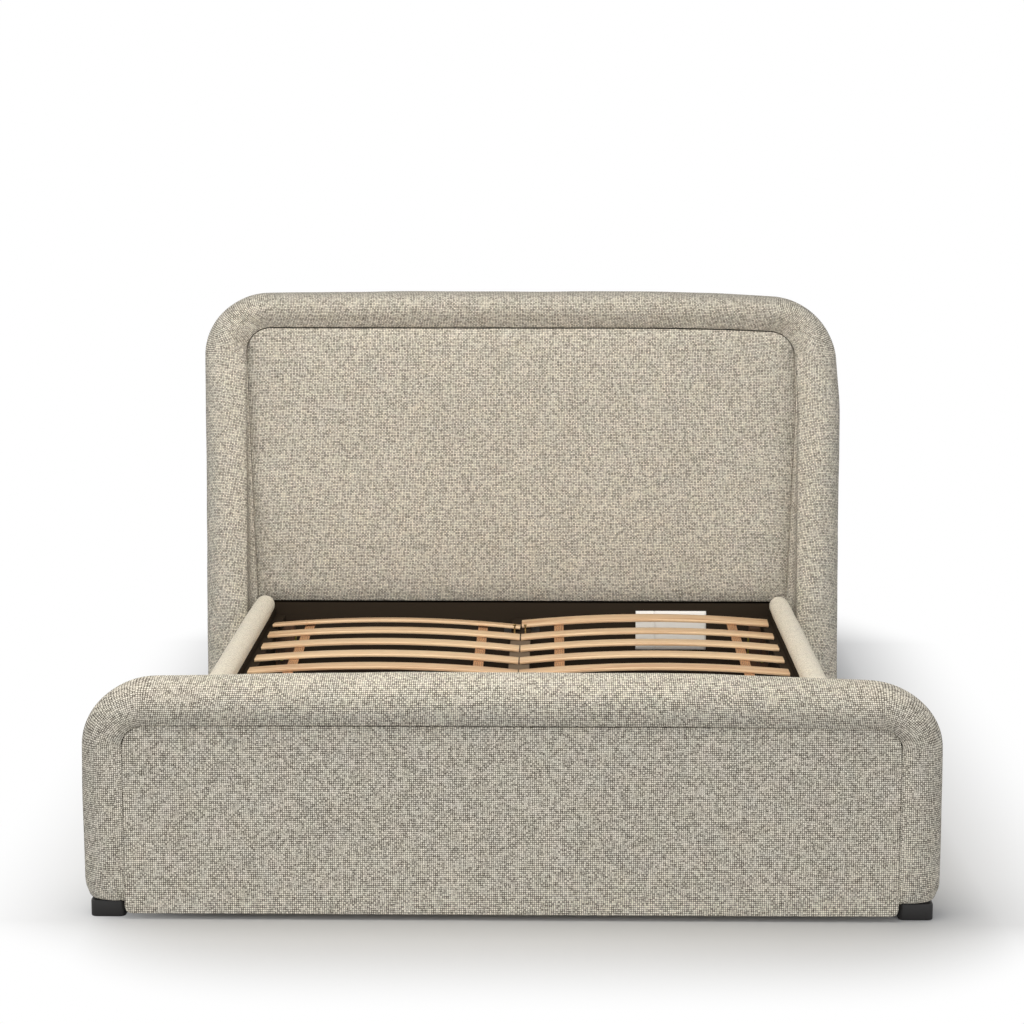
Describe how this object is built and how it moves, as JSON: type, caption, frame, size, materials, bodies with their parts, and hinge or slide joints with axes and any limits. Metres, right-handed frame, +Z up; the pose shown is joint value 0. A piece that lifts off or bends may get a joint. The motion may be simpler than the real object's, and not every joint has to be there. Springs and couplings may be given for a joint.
{
  "type": "sleigh bed",
  "caption": "Padded double bed frame with a tall winged headboard, low rolled footboard, padded rails, and lift-out sets of bowed slats that meet on a centre beam.",
  "frame": {"origin": "floor level, under the middle of the bed's overall width and length", "axes": "+X to the right of the bed seen from its foot, +Y from the footboard to the headboard, +Z up"},
  "size_m": [2.01, 2.33, 1.322],
  "materials": {
    "oatmeal_fabric": "coarse flecked weave",
    "pale_fabric": "smooth fine weave",
    "back_lining": "thin non-woven lining",
    "black_lining": "thin non-woven lining",
    "grey_felt": "pressed felt",
    "tan_webbing": "woven tape",
    "plywood": "sawn",
    "pine": "planed",
    "raw_timber": "raw",
    "black_board": "matt black stain",
    "black_feet": "satin black paint",
    "beech": "clear satin lacquer",
    "zinc_steel": "zinc plated",
    "yellow_zinc": "yellow zinc plate",
    "brass_screws": "satin",
    "black_plastic": "moulded"
  },
  "bodies": {
    "frame": {"headboard_core": "plywood", "headboard_border": "oatmeal_fabric", "headboard_panel": "oatmeal_fabric", "headboard_back": "back_lining", "headboard_cross_rail": "black_board", "headboard_post_left": "pine", "headboard_post_right": "pine", "footboard_core": "plywood", "footboard_border": "oatmeal_fabric", "footboard_front_panel": "oatmeal_fabric", "footboard_inner_panel": "oatmeal_fabric", "footboard_cross_rail": "black_board", "headboard_feet": "black_feet", "footboard_foot_left": "black_feet", "footboard_foot_right": "black_feet", "rail_board_left": "black_board", "rail_board_right": "black_board", "rail_cover_left": "pale_fabric", "rail_cover_right": "pale_fabric", "rail_lining_left": "black_lining", "rail_lining_right": "black_lining", "slat_ledge_left": "black_board", "slat_ledge_right": "black_board", "corner_blocks": "raw_timber", "corner_angles": "zinc_steel", "corner_bolts": "yellow_zinc", "centre_beam": "black_board", "beam_felt": "grey_felt", "head_hanger": "zinc_steel", "foot_hanger": "zinc_steel", "hanger_screws": "zinc_steel", "stop_screws": "brass_screws", "centre_leg_head": "black_feet", "centre_leg_foot": "black_feet"},
    "left_slat_set": {"slat_left_1": "beech", "slat_left_2": "beech", "slat_left_3": "beech", "slat_left_4": "beech", "slat_left_5": "beech", "slat_left_6": "beech", "slat_left_7": "beech", "slat_left_8": "beech", "slat_left_9": "beech", "slat_left_10": "beech", "slat_left_11": "beech", "webbing_left": "tan_webbing"},
    "right_slat_set": {"slat_right_1": "beech", "slat_right_2": "beech", "slat_right_3": "beech", "slat_right_4": "beech", "slat_right_5": "beech", "slat_right_6": "beech", "slat_right_7": "beech", "slat_right_8": "beech", "slat_right_9": "beech", "slat_right_10": "beech", "slat_right_11": "beech", "webbing_right": "tan_webbing"},
    "head_glide": {"glide_head": "black_plastic"},
    "foot_glide": {"glide_foot": "black_plastic"}
  },
  "joints": [
    {"name": "left_set_lift", "type": "slide", "parent": "frame", "child": "left_slat_set", "axis": [0, 0, 1], "range_m": [0, 0.3]},
    {"name": "right_set_lift", "type": "slide", "parent": "frame", "child": "right_slat_set", "axis": [0, 0, 1], "range_m": [0, 0.3]},
    {"name": "head_glide_level", "type": "slide", "parent": "frame", "child": "head_glide", "axis": [0, 0, 1], "range_m": [0, 0.012]},
    {"name": "foot_glide_level", "type": "slide", "parent": "frame", "child": "foot_glide", "axis": [0, 0, 1], "range_m": [0, 0.012]}
  ]
}
